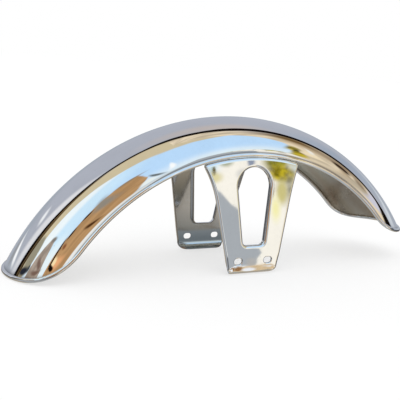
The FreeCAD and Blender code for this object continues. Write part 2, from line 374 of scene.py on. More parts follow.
def legPoint(spot, deep):  # from the flat side view to the -Y leg, with the curl bent, deep under the outside
    bend = (footZ + bridge["curlR"] - spot.y) / bridge["curlR"]
    if bend <= 0:
        return Vector((spot.x, legFrontY(spot.y) + deep, spot.y))
    radius = bridge["curlR"] - deep
    y = bridge["curlR"] - bridge["footReach"] - radius * math.cos(bend)
    return Vector((spot.x, y, footZ + bridge["curlR"] - radius * math.sin(bend)))


def edgeFold(point, normal, cornerR):  # fold radius and depth of the turned edge here
    side = smoothStep(bridge["fadeLow"], bridge["fadeHigh"], point.y - footZ)
    over = smoothStep(*bridge["topSlope"], normal.y)
    depth = bridge["endDepth"] + (bridge["edgeDepth"] - bridge["endDepth"]) * side
    depth += (bridge["topDepth"] - bridge["edgeDepth"]) * over
    return min(bridge["foldR"], bridge["foldShare"] * cornerR), depth


def cutFold(point, normal, cornerR):  # the same for the opening, even all the way round
    return bridge["cutFoldR"], bridge["cutDepth"]


def foldTurn(fold, depth):  # how far a fold turns before it ends
    return math.acos(max(0.0, 1 - depth / fold))


def evened(folds):  # takes the jumps out of a run of fold radii and depths
    for turn in range(bridge["evenTurns"]):
        runs = list(zip(folds[-1:] + folds[:-1], folds, folds[1:] + folds[:1]))
        folds = [tuple((a + 2 * b + c) / 4 for a, b, c in zip(*run)) for run in runs]
    return folds


def cornerRadii(points, normals):
    count = len(points)
    radii = []
    for number in range(count):
        after = (number + 1) % count
        turn = (normals[after] - normals[number - 1]).length
        radii.append((points[after] - points[number - 1]).length / max(turn, tiny))
    return [min(radii[number - 1], radii[number], radii[(number + 1) % count]) for number in range(count)]


def inside(point, loop):
    hit = False
    for number in range(len(loop)):
        a, b = loop[number - 1], loop[number]
        if (a.y > point.y) != (b.y > point.y):
            if point.x < (b.x - a.x) * (point.y - a.y) / (b.y - a.y) + a.x:
                hit = not hit
    return hit


def foldRings():  # for the leg's edge and its opening: flat border, fold line, normals, folds
    edge, cut = legOutline(), cutOutline()
    rings = []
    for points, normals, foldOf in (
        (edge, outwards(edge), edgeFold),
        (cut, [-normal for normal in outwards(cut)], cutFold),
    ):
        radii = cornerRadii(points, normals)
        folds = evened([foldOf(*place) for place in zip(points, normals, radii)])
        bends, flat = [], []
        for point, normal, radius, (fold, depth) in zip(points, normals, radii, folds):
            out = fold * math.sin(foldTurn(fold, depth))
            strip = min(bridge["strip"], bridge["stripShare"] * (radius - fold))
            bends.append(point - normal * out)
            flat.append(bends[-1] - normal * strip)
        rings.append((flat, bends, normals, folds))
    return rings


def flatNet(loops):  # spots and faces of the flat leg, and which spot each point of the outlines became
    def onSheet(spot):
        return inside(spot, loops[0]) and not any(inside(spot, hole) for hole in loops[1:])

    points, edges = [], []
    for loop in loops + [slotOutline(side, bridge["slotMargin"]) for side in (-1, 1)]:
        first = len(points)
        points += loop
        edges += [(first + number, first + (number + 1) % len(loop)) for number in range(len(loop))]
    border = list(points)
    step = bridge["gridStep"]
    half = math.ceil(bridge["longTopHalf"] / step)
    low, high = math.floor((sheetLowZ - footZ) / step), math.ceil((legTopR - footZ) / step)
    for column in range(-half, half + 1):
        for row in range(low, high):
            spot = Vector((bridge["legOffset"] + column * step, footZ + row * step))
            if onSheet(spot) and min((spot - other).length for other in border) > bridge["gridGap"]:
                points.append(spot)
    spots, _, triangles, origins, *_ = delaunay_2d_cdt(points, edges, [], 0, bridge["joinReach"], True)
    became = {source: number for number, sources in enumerate(origins) for source in sources}
    faces = []
    for face in triangles:
        middle = sum((spots[number] for number in face), Vector((0, 0))) / len(face)
        if onSheet(middle):
            faces.append(face)
    return spots, faces, became


def foldRing(bends, normals, folds, step):  # points of the sheet, this many steps round its fold
    ring = []
    for spot, normal, (fold, depth) in zip(bends, normals, folds):
        full = foldTurn(fold, depth)
        run = (fold * full + max(0.0, depth - fold)) * step / bridge["foldSteps"]
        turn = min(full, run / fold)
        out = fold * math.sin(turn)
        deep = fold * (1 - math.cos(turn)) + max(0.0, run - fold * full)
        ring.append(legPoint(spot + normal * out, deep))
    return ring


def buildLeg(verts, faces):
    rings = foldRings()
    spots, flatFaces, became = flatNet([rings[0][0], rings[1][0], slotOutline(-1), slotOutline(1)])
    first = len(verts)
    verts += [legPoint(spot, 0.0) for spot in spots]
    faces += [[first + number for number in face] for face in flatFaces]
    start = 0
    for (flat, bends, normals, folds), turnedIn in zip(rings, (False, True)):
        count = len(flat)
        last = [first + became[start + number] for number in range(count)]
        start += count
        for step in range(bridge["foldSteps"] + 1):
            ring = range(len(verts), len(verts) + count)
            verts += foldRing(bends, normals, folds, step)
            for number in range(count):
                following = (number + 1) % count
                quad = (last[number], ring[number], ring[following], last[following])
                faces.append(quad[::-1] if turnedIn else quad)
            last = ring


def buildSaddle(verts, faces):
    inset = blade["sheet"] + bridge["weldGap"]
    reach = blade["halfWidth"] - blade["sheet"] / 2 - blade["beadR"] - bridge["beadGap"]
    arch = [(y, radius) for y, radius, ny, nr in archSection(inset) if abs(y) < reach]
    steps = bridge["saddleSideSteps"]
    side = [legTopR - bridge["sheet"] + (arch[0][1] - legTopR) * step / steps for step in range(steps)]
    section = [(-reach, radius) for radius in side] + arch + [(reach, radius) for radius in reversed(side)]
    middle = math.degrees(math.asin(bridge["legOffset"] / legTopR))
    span = math.degrees(math.asin(bridge["saddleHalf"] / legTopR))
    first, across, along = len(verts), len(section), bridge["saddleSteps"]
    for step in range(along + 1):
        degrees = middle + span * (2 * step / along - 1)
        verts += [polar(radius, degrees, y) for y, radius in section]
    for step in range(along):
        for number in range(across - 1):
            a = first + step * across + number
            faces.append((a, a + across, a + across + 1, a + 1))


def thickened(piece, thickness, angle):  # gives a skin its sheet thickness on the inside
    solidify = piece.modifiers.new("sheet", "SOLIDIFY")
    solidify.thickness = thickness * mm
    solidify.offset = -1.0
    solidify.use_quality_normals = True
    solidify.material_offset = 1
    # the cut edges take the third finish, with its painted shade
    solidify.material_offset_rim = 2
    bpy.context.view_layer.update()
    solid = bpy.data.meshes.new_from_object(piece.evaluated_get(bpy.context.evaluated_depsgraph_get()))
    piece.modifiers.clear()
    piece.data = solid
    solid.set_sharp_from_angle(angle=math.radians(angle))


def roundSlots(piece):  # takes the sharp edge off the mouths of the slots, where outside meets cut edge
    net = bmesh.new()
    net.from_mesh(piece.data)
    reach = bridge["slotLength"] / 2 + bridge["mouthSlack"]
    mouths = []
    for edge in net.edges:
        if sorted(face.material_index for face in edge.link_faces) == [0, 2]:
            middle = (edge.verts[0].co + edge.verts[1].co) / 2 / mm - axle
            across = abs(abs(middle.x - bridge["legOffset"]) - bridge["slotSpacing"] / 2)
            if math.hypot(across, middle.z - holeZ) < reach:
                mouths.append(edge)
    bmesh.ops.bevel(
        net, geom=mouths, affect="EDGES", profile=0.5,
        offset=bridge["slotMouth"] * mm, segments=bridge["mouthSteps"],
    )
    net.to_mesh(piece.data)
    net.free()


def buildBridge(materials):
    verts, faces = [], []
    buildLeg(verts, faces)
    count = len(verts)
    verts += [Vector((vert.x, -vert.y, vert.z)) for vert in verts]
    faces += [tuple(count + number for number in reversed(face)) for face in faces]
    buildSaddle(verts, faces)
    piece = newPiece("forkBridge", verts, faces, [0] * len(faces), materials)
    thickened(piece, bridge["sheet"], bridge["sharpAngle"])
    roundSlots(piece)
    return piece


# Nodes that several materials need
def feed(tree, socket, value):  # a number or a colour is written on the socket, an output is linked to it
    if isinstance(value, bpy.types.NodeSocket):
        tree.links.new(value, socket)
    else:
        socket.default_value = value


def maths(tree, kind, first, second=0.0):
    node = tree.nodes.new("ShaderNodeMath")
    node.operation = kind
    feed(tree, node.inputs[0], first)
    feed(tree, node.inputs[1], second)
    return node.outputs[0]


def spread(tree, value, low, high, toLow=0.0, toHigh=1.0, kind="LINEAR"):  # maps one range on another
    node = tree.nodes.new("ShaderNodeMapRange")
    node.interpolation_type = kind
    names = ("Value", "From Min", "From Max", "To Min", "To Max")
    for name, number in zip(names, (value, low, high, toLow, toHigh)):
        feed(tree, node.inputs[name], number)
    return node.outputs["Result"]


def noise(tree, place, scale, detail, rough, dimensions="3D"):
    node = tree.nodes.new("ShaderNodeTexNoise")
    node.noise_dimensions = dimensions
    for name, value in (("Vector", place), ("Scale", scale), ("Detail", detail), ("Roughness", rough)):
        feed(tree, node.inputs[name], value)
    return node.outputs["Fac"]


def mixColor(tree, mask, under, over):
    node = tree.nodes.new("ShaderNodeMix")
    node.data_type = "RGBA"
    for name, value in (("Factor", mask), ("A", under), ("B", over)):
        feed(tree, node.inputs[name], value)
    return node.outputs["Result"]


# Finishes
# the second colour of each finish is what stains, pits and painted shade pull its colour towards
chromeOutside = {
    "color": (0.88, 0.885, 0.89), "stainShadeTone": (0.4, 0.4, 0.4), "metal": 1.0,
    "roughLow": 0.005, "roughHigh": 0.04, "wave": 0.05, "pits": 0.5, "ends": 0.0, "feet": 0.0,
}
bladeInside = {
    "color": (0.68, 0.7, 0.64), "stainShadeTone": (0.2, 0.13, 0.07), "metal": 0.5,
    "roughLow": 0.2, "roughHigh": 0.32, "wave": 0.05, "pits": 0.4, "ends": 0.85, "feet": 0.0,
}
# inside of the bridge; its second colour is mostly painted shade low on the legs
bridgeInside = {
    "color": (0.76, 0.755, 0.74), "stainShadeTone": (0.2, 0.235, 0.25), "metal": 1.0,
    "roughLow": 0.06, "roughHigh": 0.11, "wave": 0.05, "pits": 0.3, "ends": 0.0, "feet": 0.85,
}
# the sheet's cut edges, round the slots too: their dark colour is painted shade, their higher roughness a
# duller finish
shadedCutEdge = {
    "color": (0.34, 0.33, 0.32), "stainShadeTone": (0.16, 0.15, 0.14), "metal": 1.0,
    "roughLow": 0.25, "roughHigh": 0.4, "wave": 0.0, "pits": 0.0, "ends": 0.0, "feet": 0.0,
}
plating = {  # a noise is scale, detail and roughness, and its range runs from none to full
    "haze": (22, 6, 0.62), "hazeRange": (0.35, 0.75), "hazeStain": 0.12,
    "fine": (260, 3, 0.5), "fineRange": (0.4, 0.8), "fineShare": 0.35,
    "swell": (13, 1, 0.4),
    "pitScale": 95, "pitRange": (0.05, 0.11), "pitDepth": 0.03, "pitStain": 0.6,
    "pitPatch": (9, 2, 0.5), "pitPatchRange": (0.52, 0.6),
    "endFilm": (0.12, 0.22),  # metres from the axle, where the stain at the ends starts and is full
    "endPatch": (16, 4, 0.55), "endPatchRange": (0.3, 0.65), "endLeast": 0.6,
    "footShade": (0.065, 0.015),  # heights in metres, where the painted shade low on the legs starts and is full
    "curlShadeFade": (0.007, 0.011), "curlShadeLeast": 0.15,  # and where it fades on the curl, and the share of it left there
    "bumpStrength": 0.25, "bumpDistance": 0.002,
}


def plateGroup():  # haze, pits, pressing waves, stains, and painted shade along the bead and low on the legs
    group = bpy.data.node_groups.new("plate", "ShaderNodeTree")
    for name in ("Rough Low", "Rough High", "Wave", "Pits", "Ends", "Feet"):
        group.interface.new_socket(name, in_out="INPUT", socket_type="NodeSocketFloat")
    for name in ("Roughness", "Height", "StainAndShade"):
        group.interface.new_socket(name, in_out="OUTPUT", socket_type="NodeSocketFloat")
    nodes, links = group.nodes, group.links
    given, result = nodes.new("NodeGroupInput").outputs, nodes.new("NodeGroupOutput").inputs
    place = nodes.new("ShaderNodeTexCoord").outputs["Object"]

    def patchy(name, least=0.0, most=1.0):
        return spread(group, noise(group, place, *plating[name]), *plating[name + "Range"], least, most)

    def times(first, second):
        return maths(group, "MULTIPLY", first, second)

    worn = maths(group, "ADD", patchy("haze"), patchy("fine", 0.0, plating["fineShare"]))
    worn = maths(group, "MINIMUM", worn, 1.0)
    dots = nodes.new("ShaderNodeTexVoronoi")
    dots.inputs["Scale"].default_value = plating["pitScale"]
    links.new(place, dots.inputs["Vector"])
    pit = times(spread(group, dots.outputs["Distance"], *plating["pitRange"], 1.0, 0.0), patchy("pitPatch"))
    pit = times(pit, given["Pits"])
    swell = times(noise(group, place, *plating["swell"]), given["Wave"])
    links.new(spread(group, worn, 0.0, 1.0, given["Rough Low"], given["Rough High"]), result["Roughness"])
    links.new(maths(group, "SUBTRACT", swell, times(pit, plating["pitDepth"])), result["Height"])
    split = nodes.new("ShaderNodeSeparateXYZ")
    links.new(place, split.inputs[0])
    away = maths(group, "ABSOLUTE", maths(group, "SUBTRACT", split.outputs["X"], axle.x * mm))
    ends = times(patchy("endPatch", plating["endLeast"]), given["Ends"])
    ends = times(spread(group, away, *plating["endFilm"]), ends)
    # painted shade, blue-grey, low on the legs' insides, fading again on the curl
    feet = times(spread(group, split.outputs["Z"], *plating["footShade"]), given["Feet"])
    feet = times(feet, spread(group, split.outputs["Z"], *plating["curlShadeFade"], plating["curlShadeLeast"]))
    # painted shade along the bead's crease, read from the blade's points
    edge = nodes.new("ShaderNodeAttribute")
    edge.attribute_name = "beadCreaseShade"
    # stains and painted shade together, the strongest of them at each point
    stainAndShade = times(worn, plating["hazeStain"])
    for stainShadeTone in (times(pit, plating["pitStain"]), edge.outputs["Fac"], ends, feet):
        stainAndShade = maths(group, "MAXIMUM", stainAndShade, stainShadeTone)
    links.new(stainAndShade, result["StainAndShade"])
    return group


plate = plateGroup()


def chrome(name, finish):
    material = bpy.data.materials.new(name)
    material.use_nodes = True
    tree = material.node_tree
    shader = tree.nodes["Principled BSDF"]
    group = tree.nodes.new("ShaderNodeGroup")
    group.node_tree = plate
    for socket, key in (
        ("Rough Low", "roughLow"), ("Rough High", "roughHigh"), ("Wave", "wave"), ("Pits", "pits"),
        ("Ends", "ends"), ("Feet", "feet"),
    ):
        group.inputs[socket].default_value = finish[key]
    # base colour darkened by stains and by painted shade
    color = mixColor(tree, group.outputs["StainAndShade"], (*finish["color"], 1), (*finish["stainShadeTone"], 1))
    bump = tree.nodes.new("ShaderNodeBump")
    bump.inputs["Strength"].default_value = plating["bumpStrength"]
    bump.inputs["Distance"].default_value = plating["bumpDistance"]
    tree.links.new(group.outputs["Height"], bump.inputs["Height"])
    shader.inputs["Metallic"].default_value = finish["metal"]
    tree.links.new(color, shader.inputs["Base Color"])
    tree.links.new(group.outputs["Roughness"], shader.inputs["Roughness"])
    tree.links.new(bump.outputs["Normal"], shader.inputs["Normal"])
    return material


bright = chrome("brightChrome", chromeOutside)
dull = chrome("dullChrome", bladeInside)
plain = chrome("plainChrome", bridgeInside)
shadedEdge = chrome("shadedCutEdge", shadedCutEdge)
print("finishes made")

bladePiece = buildBlade([bright, dull])
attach(bladePiece, "root")
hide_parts("mudguard_blade")
print("blade made:", len(bladePiece.data.polygons), "faces")

bridgePiece = buildBridge([bright, plain, shadedEdge])
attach(bridgePiece, "root")
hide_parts("fork_bridge")
print("bridge made:", len(bridgePiece.data.polygons), "faces")

# Stage: pale floor, white surround, soft light, and a far dome that only reflections see
stage = {
    "floorSize": 60.0,
    "floorColor": (0.96, 0.96, 0.96),
    "floorRough": 0.9,
    "floorGlow": 0.65,
    "worldStrength": 0.95,
    "sun": 0.5,
    "sunAngle": 45.0,
    "sunTilt": (25.0, -15.0),
    "domeR": 40.0,
    "domeSplits": 4,
    "grainDetail": 4,
    "grainRough": 0.5,
    "grainRange": (0.3, 0.7),
}


def seenByEye(tree):  # 1 for what the camera sees, straight or by way of metal or glass
    path = tree.nodes.new("ShaderNodeLightPath")
    seen = path.outputs["Is Camera Ray"]
    for other in ("Is Glossy Ray", "Is Transmission Ray"):
        seen = maths(tree, "MAXIMUM", seen, path.outputs[other])
    return seen


def buildFloor():
    half = stage["floorSize"] / 2
    corners = [(-half, -half, 0), (half, -half, 0), (half, half, 0), (-half, half, 0)]
    mesh = bpy.data.meshes.new("floor")
    mesh.from_pydata(corners, [], [(0, 1, 2, 3)])
    floor = placed("floor", mesh)
    material = bpy.data.materials.new("floorPaint")
    material.use_nodes = True
    tree = material.node_tree
    shader = tree.nodes["Principled BSDF"]
    shader.inputs["Base Color"].default_value = (*stage["floorColor"], 1)
    shader.inputs["Roughness"].default_value = stage["floorRough"]
    glow = tree.nodes.new("ShaderNodeEmission")
    share = maths(tree, "MULTIPLY", seenByEye(tree), stage["floorGlow"])
    mix = tree.nodes.new("ShaderNodeMixShader")
    for output, socket in zip((share, shader.outputs[0], glow.outputs[0]), mix.inputs):
        tree.links.new(output, socket)
    tree.links.new(mix.outputs[0], tree.nodes["Material Output"].inputs["Surface"])
    mesh.materials.append(material)
    floor.visible_glossy = False


def buildWorld():
    world = bpy.data.worlds.new("surround")
    bpy.context.scene.world = world
    world.use_nodes = True
    tree = world.node_tree
    background = tree.nodes["Background"]
    background.inputs["Color"].default_value = (1, 1, 1, 1)
    strength = spread(tree, seenByEye(tree), 0.0, 1.0, stage["worldStrength"], 1.0)
    tree.links.new(strength, background.inputs["Strength"])


def buildSun():
    data = bpy.data.lights.new("softSun", "SUN")
    data.energy = stage["sun"]
    data.angle = math.radians(stage["sunAngle"])
    sun = placed("softSun", data)
    sun.rotation_euler = (*[math.radians(tilt) for tilt in stage["sunTilt"]], 0)
    sun.visible_glossy = False


# What the chrome mirrors, painted on the dome one over the other. Places are degrees: across from the -Y
# side towards -X, and up from the horizon. Where "on" is "back" they run from the +Y side towards +X, and
# where it is "belt" they are degrees towards -X, and round the X axis, up from the -Y side.
# "under" and "over" fill one side of a line, "spot" is a soft oval: middle, half sizes, tilt.
# "grain" makes the colour uneven: share and scale.
mirrored = [
    {"over": [(-180, -2), (180, -2)], "soft": 4, "color": (214, 233, 250)},
    {"over": [(-180, 22), (180, 22)], "soft": 18, "color": (186, 219, 250)},
    {"spot": (70, 46, 36, 26, 0), "soft": 0.7, "color": (206, 234, 252)},
    {"spot": (98, 42, 13, 26, 10), "soft": 0.6, "color": (240, 249, 252)},
    {"spot": (62, 22, 14, 10, 0), "soft": 0.7, "color": (233, 246, 250)},
    {"spot": (-30, 2, 12, 14, 0), "soft": 0.8, "color": (222, 238, 246)},
    {
        "soft": 3, "color": (205, 191, 158),
        "over": [
            (-180, 74), (-75, 66), (-60, 72), (-40, 79), (0, 81), (55, 80), (75, 77), (85, 72),
            (92, 67), (98, 62), (103, 57), (107, 47), (109, 32), (110.5, 10), (112, -40), (180, -40),
        ],
    },
    {"spot": (112, 24, 9, 7.5, 0), "soft": 0.15, "color": (152, 146, 126)},
    {"spot": (113, 17.5, 11, 1.6, -14), "soft": 0.5, "color": (38, 42, 52)},
    {"spot": (104, 20.5, 2.5, 1.5, -10), "soft": 0.5, "color": (60, 66, 70)},
]
# taupe mound and ochre bank on the near left
mirrored += [
    {
        "soft": 0.8, "color": (166, 151, 138), "grain": (0.2, 0.12),
        "under": [
            (62, -40), (65, 10), (67, 20), (70, 23.5), (75, 30), (80, 34.5), (84, 35.5), (90, 34),
            (95, 30), (99, 25.5), (101.5, 18), (103, 0), (104, -40),
        ],
    },
    {"spot": (83, 34.2, 6, 1.2, 0), "soft": 0.6, "color": (132, 126, 120)},
    {"spot": (82, 24, 9, 1.3, 13), "soft": 0.6, "color": (122, 100, 90)},
    {"spot": (80, 20.5, 12, 1.0, 0), "soft": 0.6, "color": (120, 96, 84)},
    {
        "soft": 0.9, "color": (180, 141, 98), "grain": (0.12, 0.08),
        "under": [
            (-23, -60), (-20, -12), (-19, -6), (-16, 0), (-12, 8), (-10, 12), (-5, 23.5), (0, 31),
            (5, 38), (10, 43.5), (15, 48), (20, 49.5), (25, 48.5), (30, 46), (35, 42.5), (38, 40),
            (41, 35.5), (45, 30), (49, 27.5), (51, 22), (52, 10), (53, -60),
        ],
    },
    {"spot": (24, 35, 18, 3.6, 33), "soft": 0.7, "color": (146, 138, 126)},
    {"spot": (20, 47, 9, 2.2, 0), "soft": 0.7, "color": (150, 128, 104)},
    {"spot": (6.5, 11.5, 11.5, 1.0, 34), "soft": 0.6, "color": (78, 48, 22)},
    {"spot": (29, 12, 14, 2.0, 24), "soft": 0.7, "color": (236, 172, 122)},
    {"spot": (38, 16.5, 7, 1.5, 27), "soft": 0.5, "color": (252, 226, 176)},
    {"spot": (36, 21.5, 5, 1.0, 28), "soft": 0.6, "color": (136, 84, 52)},
    {"spot": (37.5, 36, 3.4, 2.2, 0), "soft": 0.5, "color": (44, 28, 26)},
    {"spot": (42, 29.5, 3, 2.4, 20), "soft": 0.5, "color": (42, 28, 26)},
    {"spot": (47, 25, 2.2, 4.8, -20), "soft": 0.5, "color": (62, 54, 58)},
    {"spot": (38, 14.2, 11, 0.9, 25), "soft": 0.3, "color": (20, 12, 8)},
    {"spot": (45.5, 20, 2.0, 4.6, -24), "soft": 0.35, "color": (26, 16, 12)},
    {"spot": (-13.5, 20, 13.5, 0.7, 70), "soft": 0.6, "color": (250, 252, 252)},
    {"spot": (-14, 6.5, 8, 1.4, 60), "soft": 0.5, "color": (234, 241, 238)},
    {"spot": (-11.5, 14.5, 13.5, 0.6, 58), "soft": 0.6, "color": (104, 112, 114)},
]
# beige and olive on the right
mirrored += [
    {
        "soft": 2, "color": (214, 198, 171), "grain": (0.22, 0.06),
        "under": [
            (-180, 88), (-80, 86), (-72, 72), (-66, 60), (-61, 47), (-57, 39), (-52, 33.5), (-47, 27),
            (-43, 21), (-40, 14.5), (-37.5, 8), (-35.5, 0), (-34, -8), (-33, -60),
        ],
    },
    {"spot": (-72, 40, 6, 16, 40), "soft": 0.8, "color": (198, 176, 144)},
    {"spot": (-84, 46, 7, 17, 40), "soft": 0.7, "color": (112, 88, 54)},
    {"spot": (-73, 24, 9, 9, 0), "soft": 0.8, "color": (156, 136, 112)},
    {"spot": (-64, 20, 8, 2.6, -40), "soft": 0.4, "color": (46, 30, 14)},
    {"spot": (-54, 11, 10, 1.2, -48), "soft": 0.7, "color": (146, 128, 106)},
    {"spot": (-49, 6, 10, 1.6, -50), "soft": 0.7, "color": (196, 176, 146)},
    {"spot": (-49, 20, 10, 3, -52), "soft": 0.6, "color": (240, 222, 188)},
    {"spot": (-57, 28, 8, 1.0, -45), "soft": 0.7, "color": (236, 232, 222)},
    {"spot": (-47.5, 26.5, 9, 2.2, -50), "soft": 0.5, "color": (148, 134, 62), "grain": (0.4, 0.12)},
    {"spot": (-39.5, 9.5, 14, 1.4, -70), "soft": 0.5, "color": (168, 150, 44), "grain": (0.4, 0.12)},
    {"spot": (-44, 20, 4, 0.9, -58), "soft": 0.5, "color": (88, 84, 40)},
    {"spot": (-50, 3.5, 13, 2.6, -38), "soft": 0.7, "color": (170, 158, 138), "grain": (0.3, 0.1)},
    {"spot": (-62, 11.5, 8, 1.8, -36), "soft": 0.6, "color": (146, 130, 110)},
    {"spot": (-59, 4.4, 16, 2.0, -31), "soft": 0.4, "color": (204, 203, 216)},
]
# grey screen behind the part, with a brown and then a black rim
mirrored += [
    {
        "on": "back", "soft": 1.2, "color": (96, 78, 52),
        "under": [
            (-62, -60), (-60, 10), (-60, 30), (-59, 38), (-55, 48), (-49.5, 54.5), (-41, 60.5),
            (-31, 65.5), (-19, 69), (-5, 71.5), (15, 73), (30, 73), (40, 72), (50, 70.5), (60, 68.5),
            (70, 66), (80, 60), (88, 49), (94, 38), (100, 27), (105, 17), (110, 9), (114, -60),
        ],
    },
    {"spot": (122, 20, 1.0, 10, 0), "soft": 0.4, "color": (48, 40, 32)},
    {
        "on": "back", "soft": 0.9, "color": (172, 176, 187),
        "under": [
            (-52, -60), (-50.5, 10), (-50.5, 30), (-50, 39), (-48, 47), (-44, 52), (-38, 57.5),
            (-30, 62), (-18, 66.5), (-5, 68.5), (15, 70), (30, 70), (50, 66), (70, 58), (80, 49),
            (94, 29), (105, 13), (120, 1), (135, -9), (138, -13), (140, -60),
        ],
    },
    {"on": "back", "spot": (40, 58, 40, 9, 0), "soft": 0.8, "color": (188, 180, 178)},
    {"on": "back", "spot": (-42, 29, 6.5, 23, 0), "soft": 0.6, "color": (224, 224, 227)},
    {"on": "back", "spot": (75, 26, 16, 14, -30), "soft": 0.8, "color": (160, 170, 185)},
    {"on": "back", "spot": (20, 2, 60, 8, 0), "soft": 0.8, "color": (160, 167, 177)},
    {"on": "back", "spot": (84, 7.5, 24, 2.4, -8), "soft": 0.8, "color": (204, 210, 216)},
    {"on": "back", "spot": (-25, 19, 5, 1.8, -15), "soft": 0.7, "color": (240, 242, 244)},
    {"on": "back", "spot": (-24, 6.5, 9, 1.6, -6), "soft": 0.6, "color": (248, 249, 250)},
    {"on": "back", "spot": (-16, 2.2, 6, 2.2, -10), "soft": 0.6, "color": (150, 152, 156)},
    {
        "on": "back", "soft": 0.6, "color": (16, 11, 7),
        "under": [
            (-56, -60), (-53, 10), (-53, 30), (-54.5, 38), (-52, 46), (-48, 51.5), (-41, 58.5),
            (-31, 64), (-19, 68.2), (-5, 71), (15, 72.6), (30, 72.8), (40, 71.8), (50, 70.4),
            (60, 68.3), (70, 64.8), (80, 57), (88, 45.5), (94, 35.5), (100, 25.5), (105, 16),
            (110, 9.5), (115, 6), (120, 2.6), (125, -0.5), (130, -4.5), (135, -8), (138, -12),
            (140, -60),
        ],
        "over": [
            (-52, -60), (-48.7, 10), (-48.7, 30), (-48, 39), (-45.5, 46), (-42, 51), (-37, 55.5),
            (-30, 60), (-18, 64), (-5, 65.4), (15, 66.5), (30, 66.3), (40, 64.6), (50, 61.5),
            (60, 57.5), (70, 50.5), (80, 41), (88, 30.5), (94, 22.5), (100, 14), (105, 8), (110, 2.5),
            (115, -1), (120, -3.5), (125, -5.5), (130, -8), (135, -10.5), (137, -13), (139, -60),
        ],
    },
]
# dark ground close to the part, up to the lowest line that the blade itself mirrors
mirrored += [
    {
        "soft": 0.8, "color": (84, 86, 90),
        "under": [
            (-180, -11), (-150, -11), (-140, -10.5), (-130, -8), (-120, -4.5), (-110, -1.5),
            (-100, 0.5), (-90, 1), (-80, 0.5), (-70, -1.5), (-60, -4.5), (-50, -9), (-42, -13),
            (-38, -15), (-35, -18.5), (-27, -18.5), (-26.6, -9), (-20, -9.5), (-10, -9.3), (0, -6),
            (10, -2), (20, 2), (30, 6), (40, 9.5), (50, 13), (60, 15), (80, 16), (100, 15), (110, 13.5),
            (120, 11), (130, 8), (140, 5), (150, 1), (160, -3.5), (170, -7.5), (180, -11),
        ],
    },
    {"spot": (-13, -9.5, 14, 5.5, 0), "soft": 0.3, "color": (236, 237, 234)},
    {"under": [(-180, -45), (180, -45)], "soft": 10, "color": (158, 154, 142)},
    {"on": "back", "spot": (0, -38, 75, 25, 0), "soft": 0.25, "color": (166, 157, 142)},
    {"spot": (72, -14, 52, 20, 0), "soft": 0.3, "color": (168, 171, 176)},
    {"spot": (-31, -40, 20, 23, 0), "soft": 0.25, "color": (216, 200, 174)},
    {"spot": (-33, -38, 6, 16, 0), "soft": 0.3, "color": (240, 243, 246)},
    {"spot": (-20, -40, 7, 16, 0), "soft": 0.3, "color": (140, 114, 88)},
    {"under": [(-180, -80), (180, -80)], "soft": 5, "color": (72, 73, 76)},
]
